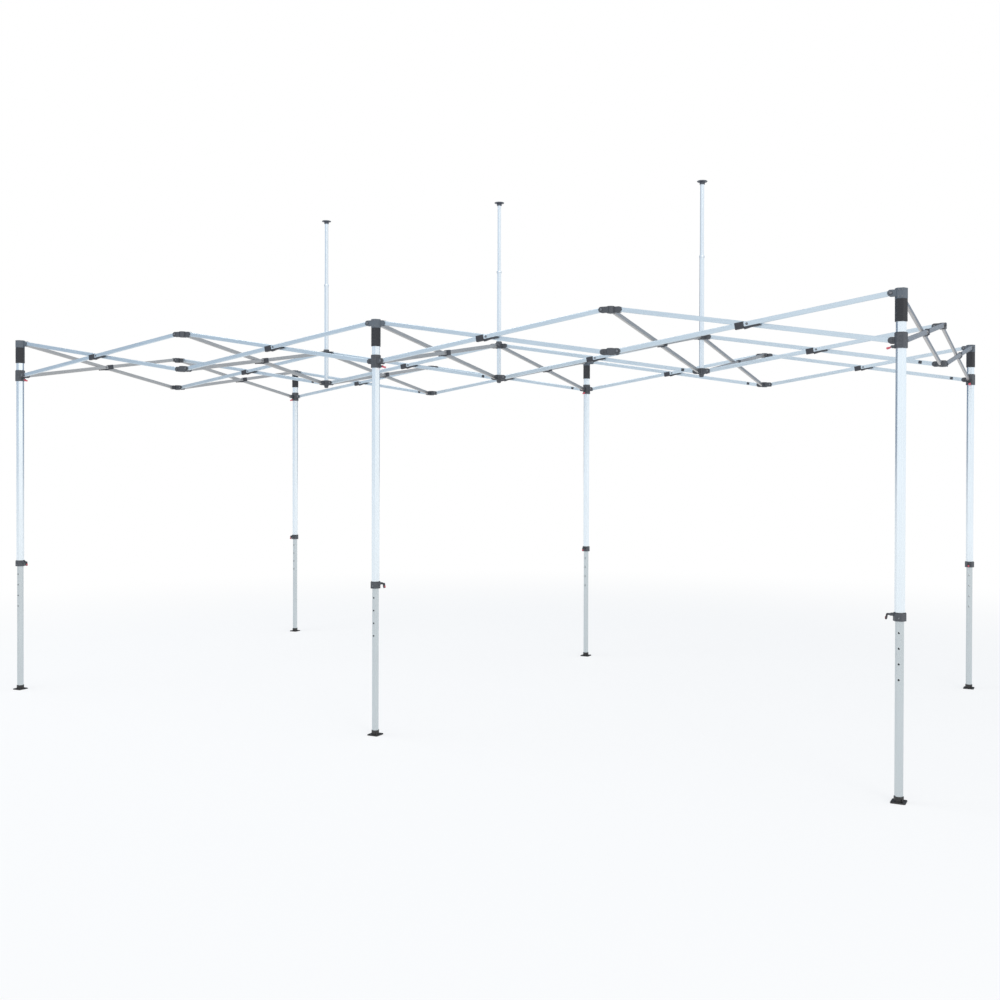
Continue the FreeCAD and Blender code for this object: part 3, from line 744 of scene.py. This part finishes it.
# %% Lever frames
def lever_frame(joint_name):
    """A matrix at the lever's pin, with x pointing away from the leg, as the joint's axis says."""
    joint = joints[joint_name]
    axis = np.array(joint["axis"], float)
    sign = 1 if joint_name.startswith("runner") else -1
    y = sign * axis
    x = np.cross(y, [0, 0, 1.0])
    frame_matrix = np.eye(4)
    frame_matrix[:3, 0], frame_matrix[:3, 1], frame_matrix[:3, 2] = x, y, (0, 0, 1)
    frame_matrix[:3, 3] = joint["pos_m"]
    return frame_matrix


def grip_block():
    """Box outlines stacked along the lever, small at both ends and full between them."""
    z = np.array([-0.0085, -0.0075, -0.005, 0.005, 0.0080, 0.0092])
    width = np.array([0.0120, 0.0144, 0.0152, 0.0152, 0.0146, 0.0120])
    height = np.array([0.0060, 0.0078, 0.0088, 0.0105, 0.0098, 0.0070])
    outline = rounded_box(1.0, 1.0, 0.2)
    rings = [np.stack([w * outline[:, 0], h * outline[:, 1], np.full(len(outline), k)], -1)
             for w, h, k in zip(width, height, z)]
    return capped_shell(np.stack(rings))


tab_grip = grip_block()
thumb_pad = pad(0.012, 0.010, 0.0016, 0.003)
ridge = pad(0.0016, 0.011, 0.0009, 0.0006)
to_front = tilt_y(math.radians(90))
LEVER_FACE, THUMB_DROP = 0.0259, 0.017
tab_slope = math.atan2(0.006, 0.025)
for leg_name in LEGS.values():
    base = lever_frame(f"collar_lever_{leg_name}")
    spot = base @ move(LEVER_FACE, 0, -THUMB_DROP) @ to_front
    piece(f"thumb_pad_{leg_name}", [repeated(thumb_pad, [spot])], f"collar_lever_{leg_name}", red_plastic)
    base = lever_frame(f"runner_lever_{leg_name}") @ tilt_y(tab_slope)
    ridges = [base @ move(x, 0, 0.0024) for x in (0.010, 0.0135, 0.017, 0.0205)]
    grips = repeated(tab_grip, [base @ move(0.0185, 0, -0.0015) @ along_bar])
    piece(f"tab_ridges_{leg_name}", [grips, repeated(ridge, ridges)], f"runner_lever_{leg_name}",
          red_plastic)

# %% [markdown]
# ## Feet
# The foot plate has a raised rim, a ring round each stake hole, and webs from the socket to the two corners
# that have no hole. The webs are wedges: a triangle given a thickness.

# %% Rims, rings and webs on the feet
plate_outline = rounded_box(0.0712, 0.0712, 0.0078)
PLATE_TOP, RIM_TOP, RIM_WIDE, SOFT, HOLE_OUT = 0.0038, 0.0060, 0.0020, 0.0004, 0.027
plate_rim = sleeve(plate_outline, [(0.0, PLATE_TOP), (0.0, RIM_TOP - SOFT), (-SOFT, RIM_TOP),
                                   (SOFT - RIM_WIDE, RIM_TOP), (-RIM_WIDE, RIM_TOP - SOFT),
                                   (-RIM_WIDE, PLATE_TOP)])
hole_ring = washer(0.0058, 0.0084, PLATE_TOP, RIM_TOP)


def web():
    """A wedge along +X: 3 mm thick, as high as the socket at its root, and low at its tip."""
    x = np.array([0.0205, 0.0400, 0.0400, 0.0205])
    z = np.array([PLATE_TOP, PLATE_TOP, 0.0052, 0.0240])
    section = np.stack([x, np.zeros(4), z], -1)
    return capped_shell(np.stack([section + [0, y, 0] for y in (-0.0015, -0.0012, 0.0012, 0.0015)]))


for (column, row), leg_name in LEGS.items():
    here = move(column * BAY, row * BAY, 0)
    rings = repeated(hole_ring, [here @ move(s * HOLE_OUT, s * HOLE_OUT, 0) for s in (-1, 1)])
    webs = repeated(web(), [here @ turn_z(angle) for angle in (135, 315)])
    piece(f"foot_ribs_{leg_name}", [repeated(plate_rim, [here]), rings, webs], f"lower_leg_{leg_name}",
          foot_plastic)

# %% [markdown]
# ## Peak poles
# The upper pole bracket has a funnel that guides the pole, the lower one ends in a rounded tail, and a thin
# pale ring closes the top of each sleeve.

# %% Funnels, tails and clamp rings
pole_spots = [move(column * BAY, 0, 0) for column in POLES]
funnel = lathe_ring([(0.0170, 0.0188), (0.0225, 0.0188), (0.0215, 0.023), (0.0195, 0.031),
                     (0.0190, 0.0318), (0.0170, 0.0318)])
tail = turned_profile([0.0170, 0.0165, 0.0150, 0.0135, 0.0100, 0.0040],
                      [0.0005, -0.006, -0.012, -0.017, -0.0195, -0.0205], 24)
clamp = lathe_ring([(0.0166, -0.012), (0.0171, -0.012), (0.0175, -0.011), (0.0175, -0.001),
                    (0.0171, 0.0), (0.0166, 0.0)])
HUB_DROP = 0.019
sleeve_top = max(corner[2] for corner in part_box("pole_sleeves"))
for name, shell, height, body, finish, slot in (
        ("pole_funnels", funnel, TOP_PIN, "centre_row", bracket_plastic, "truss_bracket_plastic"),
        ("pole_tails", tail, LOW_PIN - HUB_DROP, "centre_runners", bracket_plastic, "truss_bracket_plastic"),
        ("sleeve_clamps", clamp, sleeve_top, "centre_row", pole_metal, "pole_tube")):
    piece(name, [repeated(shell, [spot @ move(0, 0, height) for spot in pole_spots])], body, finish)

# %% Beads on the pole caps
bead_turn = np.linspace(0, 2 * np.pi, 8, endpoint=False)
DISC_R, DISC_THICK, BEAD_R = 0.0330, 0.007, 0.0012
bead_r = DISC_R + BEAD_R * np.cos(bead_turn)
bead_z = DISC_THICK / 2 + BEAD_R * np.sin(bead_turn)
bead = lathe_ring(np.stack([bead_r, bead_z], -1), 40)
for column, place in POLES.items():
    base = max(corner[2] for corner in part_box(f"pole_disc_{place}")) - DISC_THICK
    piece(f"cap_bead_{place}", [repeated(bead, [move(column * BAY, 0, base)])], f"pole_tip_{place}",
          disc_plastic)
print(len(made), "pieces,", sum(made.values()), "faces")

# %% [markdown]
# ## Floor, light and camera
# The frame stands on a plain white floor under soft light. Broad lamps from the front right and from above
# light it evenly, and the floor turns white with distance.

# %% Rays that should find a white floor
def pale_rays(tree):
    """One for rays from the camera, and for mirrored and transmitted rays."""
    rays = tree.nodes.new("ShaderNodeLightPath")
    total = maths(tree, "ADD", rays.outputs["Is Camera Ray"], rays.outputs["Is Glossy Ray"], clamp=True)
    return maths(tree, "ADD", total, rays.outputs["Is Transmission Ray"], clamp=True)


# %% Floor that goes white with distance
half = 60.0
floor_mesh = bpy.data.meshes.new("floor")
floor_corners = [(-half, -half, 0), (half, -half, 0), (half, half, 0), (-half, half, 0)]
floor_mesh.from_pydata(floor_corners, [], [(0, 1, 2, 3)])
floor = bpy.data.objects.new("floor", floor_mesh)
bpy.context.scene.collection.objects.link(floor)
floor_material = bpy.data.materials.new("floor")
floor_material.use_nodes = True
tree = floor_material.node_tree
shader = tree.nodes["Principled BSDF"]
shader.inputs["Base Color"].default_value = (0.93, 0.925, 0.92, 1)
shader.inputs["Roughness"].default_value = 0.9
shader.inputs["Specular IOR Level"].default_value = 0.1
away = tree.nodes.new("ShaderNodeVectorMath")
away.operation = "LENGTH"
tree.links.new(tree.nodes.new("ShaderNodeTexCoord").outputs["Object"], away.inputs[0])
fade = tree.nodes.new("ShaderNodeMapRange")
fade.interpolation_type = "SMOOTHSTEP"
for socket_name, value in (("Value", away.outputs["Value"]), ("From Min", 3.5), ("From Max", 9.0),
                           ("To Min", 0.6), ("To Max", 1.0)):
    link(tree, value, fade.inputs[socket_name])
white = tree.nodes.new("ShaderNodeEmission")
mix = tree.nodes.new("ShaderNodeMixShader")
link(tree, maths(tree, "MULTIPLY", fade.outputs["Result"], pale_rays(tree)), mix.inputs[0])
tree.links.new(shader.outputs[0], mix.inputs[1])
tree.links.new(white.outputs[0], mix.inputs[2])
tree.links.new(mix.outputs[0], tree.nodes["Material Output"].inputs["Surface"])
floor_mesh.materials.append(floor_material)

# %% [markdown]
# Pale metal shows what stands round it. A room that is equally white on all sides would hide the faces of a
# six sided leg, so the world is bright to the front, to the right and above, and a cool dark grey at the back
# left. The camera itself sees plain white.

# %% World
world = bpy.data.worlds.new("studio")
bpy.context.scene.world = world
world.use_nodes = True
tree = world.node_tree
way = tree.nodes.new("ShaderNodeSeparateXYZ")
tree.links.new(tree.nodes.new("ShaderNodeTexCoord").outputs["Generated"], way.inputs[0])
level = maths(tree, "ADD", maths(tree, "MULTIPLY", way.outputs["X"], 0.42), 0.5)
level = maths(tree, "ADD", level, maths(tree, "MULTIPLY", way.outputs["Y"], -0.35))
level = maths(tree, "ADD", level, maths(tree, "MULTIPLY", way.outputs["Z"], 0.20), clamp=True)
ramp = tree.nodes.new("ShaderNodeValToRGB")
tree.links.new(level, ramp.inputs[0])
stops = ramp.color_ramp.elements
stops[0].position, stops[0].color = 0.0, (0.10, 0.15, 0.23, 1)
stops[1].position, stops[1].color = 1.0, (1.0, 1.0, 1.0, 1)
for position, shade in ((0.25, (0.25, 0.32, 0.42)), (0.5, (0.56, 0.65, 0.75)), (0.75, (0.92, 0.96, 1.0))):
    stops.new(position).color = (*shade, 1)
background = tree.nodes["Background"]
tree.links.new(ramp.outputs["Color"], background.inputs["Color"])
background.inputs["Strength"].default_value = 1.05
seen = tree.nodes.new("ShaderNodeBackground")
seen.inputs["Color"].default_value = (1, 1, 1, 1)
rays = tree.nodes.new("ShaderNodeLightPath")
mix = tree.nodes.new("ShaderNodeMixShader")
tree.links.new(rays.outputs["Is Camera Ray"], mix.inputs[0])
tree.links.new(background.outputs[0], mix.inputs[1])
tree.links.new(seen.outputs[0], mix.inputs[2])
tree.links.new(mix.outputs[0], tree.nodes["World Output"].inputs["Surface"])


# %% Lamps
def lamp(name, place, target, size, power, colour):
    """A round lamp at a place, turned to face the target."""
    light = bpy.data.lights.new(name, "AREA")
    light.shape, light.size, light.energy, light.color = "DISK", size, power, colour
    thing = bpy.data.objects.new(name, light)
    thing.location = place
    thing.rotation_euler = (Vector(target) - Vector(place)).to_track_quat("-Z", "Y").to_euler()
    bpy.context.scene.collection.objects.link(thing)


WARM = (1.0, 0.98, 0.95)
lamp("key", (10, -8, 8), (0, 0, 1.6), size=5.0, power=200, colour=WARM)
lamp("top", (-5, -3, 10), (0, 0, 2), size=6.0, power=260, colour=WARM)

# %% Camera
camera_data = bpy.data.cameras.new("camera")
camera = bpy.data.objects.new("camera", camera_data)
bpy.context.scene.collection.objects.link(camera)
bpy.context.scene.camera = camera
camera_data.sensor_width = 36.0
camera_data.lens = 41.145
camera_data.shift_x, camera_data.shift_y = -0.0638, -0.0336
camera_data.clip_end = 200
STAND = (3.9236, -7.1395, 1.6497)
YAW, PITCH, ROLL = -0.4456, -0.0079, -0.0029
forward = Vector((math.sin(YAW) * math.cos(PITCH), math.cos(YAW) * math.cos(PITCH), math.sin(PITCH)))
right = forward.cross(Vector((0, 0, 1))).normalized()
upward = right.cross(forward)
turned = Matrix.Rotation(ROLL, 3, forward)
right, upward = turned @ right, turned @ upward
camera.matrix_world = Matrix.Translation(STAND) @ Matrix((right, upward, -forward)).transposed().to_4x4()

# %% Finish
bpy.context.scene.view_settings.view_transform = "Standard"
